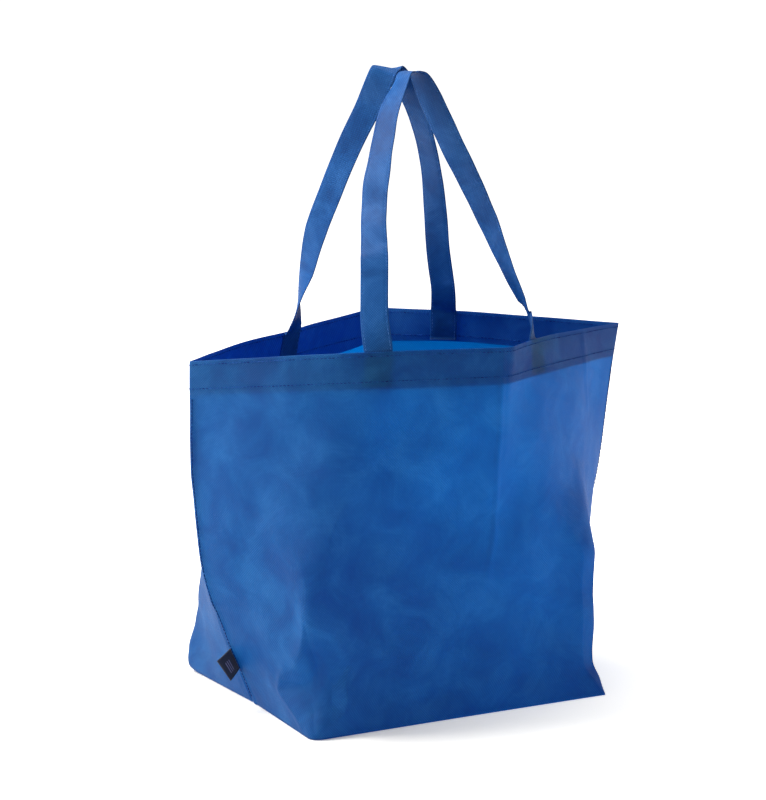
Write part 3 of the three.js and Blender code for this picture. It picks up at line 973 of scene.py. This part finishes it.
def make_label():
    count = LABEL_POINTS
    middle, uvs = [], []
    for r in range(count):
        height = LABEL_LOW + LABEL_SIZE * r / (count - 1)
        points = body_surface(height / CORNER_HEIGHT)[0]
        root = points[LEFT_SEAM] + LABEL_ROOT
        low, high = LABEL_WAYS
        out = unit(low + (high - low) * r / (count - 1))
        wave = LABEL_WAVE * math.sin(LABEL_WAVE_TURN * r / count)
        for c in range(count):
            reach = LABEL_SIZE * c / (count - 1)
            bend = LABEL_BOW * math.sin(math.pi * c / (count - 1)) + wave
            middle.append(root + out * reach + LABEL_BULGE * bend)
            uvs.append((reach, height))
    middle = np.array(middle).reshape(count, count, 3)
    normal = unit(np.cross(middle[1:-1, 2:] - middle[1:-1, :-2], middle[2:, 1:-1] - middle[:-2, 1:-1]))
    normal = np.pad(normal, ((1, 1), (1, 1), (0, 0)), mode="edge")
    share = np.arange(count) / (count - 1)
    into_fold = np.clip(share - LABEL_FOLD, 0, None) / (1 - LABEL_FOLD)
    half = LABEL_HALF_THICKNESS * np.sqrt(np.clip(1 - into_fold ** 2, 0, 1))
    half = np.maximum(half, LABEL_EDGE)[None, :, None]
    layers = [(middle + normal * half).reshape(-1, 3), (middle - normal * half).reshape(-1, 3)]
    label = new_object("label", np.concatenate(layers), thick_faces(count, count), uvs + uvs)
    label.data.materials.append(label_cloth)
    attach(label, "root")
    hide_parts("side_label")
    return label


label = make_label()


# Floor, light and background

FLOOR_HALF = 40.0
FLOOR_DROP = 0.0006  # below the base, so that the two don't share a plane
FLOOR_COLOR = (0.84, 0.82, 0.76, 1)
WORLD_LIGHT = 0.14

# The floor's seen glow rises from a low level round this place to white further off
GLOW_MIDDLE = (-0.26, -0.02, 0.0)
GLOW_FROM, GLOW_TO = 0.08, 0.62
GLOW_LOW, GLOW_HIGH = 0.1, 1.0

# Lamps: name, place, aim, size and watts
LAMPS = [
    ("high_left_box", (-1.5, 0.9, 2.0), (0, 0, 0.4), (1.2, 1.2), 88),
    ("low_left_box", (-1.1, 0.2, 0.14), (-0.15, 0, 0.12), (0.9, 0.25), 6),
    ("top_box", (-0.2, 0.3, 2.2), (0, 0, 0.3), (1.2, 1.2), 22),
    ("front_box", (-0.9, -2.4, 0.4), (0, 0, 0.12), (1.2, 0.6), 10),
    ("right_box", (2.2, -1.8, 1.0), (0, 0, 0.25), (1.2, 1.2), 6),
]


def seen_ray(nodes, links):
    """1 for rays that show the background directly, in a reflection or through something clear."""
    path = nodes.new("ShaderNodeLightPath")
    total = path.outputs["Is Camera Ray"]
    for kind in ("Is Glossy Ray", "Is Transmission Ray"):
        total = joined(nodes, links, "MAXIMUM", total, path.outputs[kind])
    return total


def make_floor():
    half = FLOOR_HALF
    mesh = bpy.data.meshes.new("floor")
    corners = [(-half, -half, 0), (half, -half, 0), (half, half, 0), (-half, half, 0)]
    mesh.from_pydata(corners, [], [(0, 1, 2, 3)])
    floor = bpy.data.objects.new("floor", mesh)
    bpy.context.scene.collection.objects.link(floor)
    floor.location.z = -FLOOR_DROP
    material, nodes, links = node_material("floor")
    diffuse = nodes.new("ShaderNodeBsdfDiffuse")
    diffuse.inputs["Color"].default_value = FLOOR_COLOR
    coords = nodes.new("ShaderNodeTexCoord")
    shifted = nodes.new("ShaderNodeVectorMath")
    shifted.operation = "SUBTRACT"
    shifted.inputs[1].default_value = GLOW_MIDDLE
    links.new(coords.outputs["Object"], shifted.inputs[0])
    far = nodes.new("ShaderNodeVectorMath")
    far.operation = "LENGTH"
    links.new(shifted.outputs["Vector"], far.inputs[0])
    away = nodes.new("ShaderNodeMapRange")
    away.inputs["From Min"].default_value = GLOW_FROM
    away.inputs["From Max"].default_value = GLOW_TO
    away.inputs["To Min"].default_value = GLOW_LOW
    away.inputs["To Max"].default_value = GLOW_HIGH
    links.new(far.outputs["Value"], away.inputs["Value"])
    level = joined(nodes, links, "MULTIPLY", seen_ray(nodes, links), away.outputs["Result"])
    glow = nodes.new("ShaderNodeEmission")
    glow.inputs["Color"].default_value = (1, 1, 1, 1)
    links.new(level, glow.inputs["Strength"])
    both = nodes.new("ShaderNodeAddShader")
    links.new(diffuse.outputs["BSDF"], both.inputs[0])
    links.new(glow.outputs["Emission"], both.inputs[1])
    finish_material(nodes, links, both.outputs["Shader"])
    mesh.materials.append(material)


def make_world():
    world = bpy.data.worlds.new("world")
    bpy.context.scene.world = world
    world.use_nodes = True
    nodes, links = world.node_tree.nodes, world.node_tree.links
    nodes.clear()
    level = nodes.new("ShaderNodeMapRange")
    level.inputs["To Min"].default_value = WORLD_LIGHT
    level.inputs["To Max"].default_value = 1.0
    links.new(seen_ray(nodes, links), level.inputs["Value"])
    background = nodes.new("ShaderNodeBackground")
    background.inputs["Color"].default_value = (1, 1, 1, 1)
    links.new(level.outputs["Result"], background.inputs["Strength"])
    out = nodes.new("ShaderNodeOutputWorld")
    links.new(background.outputs["Background"], out.inputs["Surface"])


def make_lamp(name, place, aim, size, power):
    data = bpy.data.lights.new(name, "AREA")
    data.shape = "RECTANGLE"
    data.size, data.size_y = size
    data.energy = power
    lamp = bpy.data.objects.new(name, data)
    bpy.context.scene.collection.objects.link(lamp)
    lamp.location = place
    way = Vector(aim) - Vector(place)
    lamp.rotation_euler = way.to_track_quat("-Z", "Y").to_euler()
    lamp.visible_camera = False


make_floor()
make_world()
for lamp in LAMPS:
    make_lamp(*lamp)
bpy.context.scene.view_settings.view_transform = "Standard"
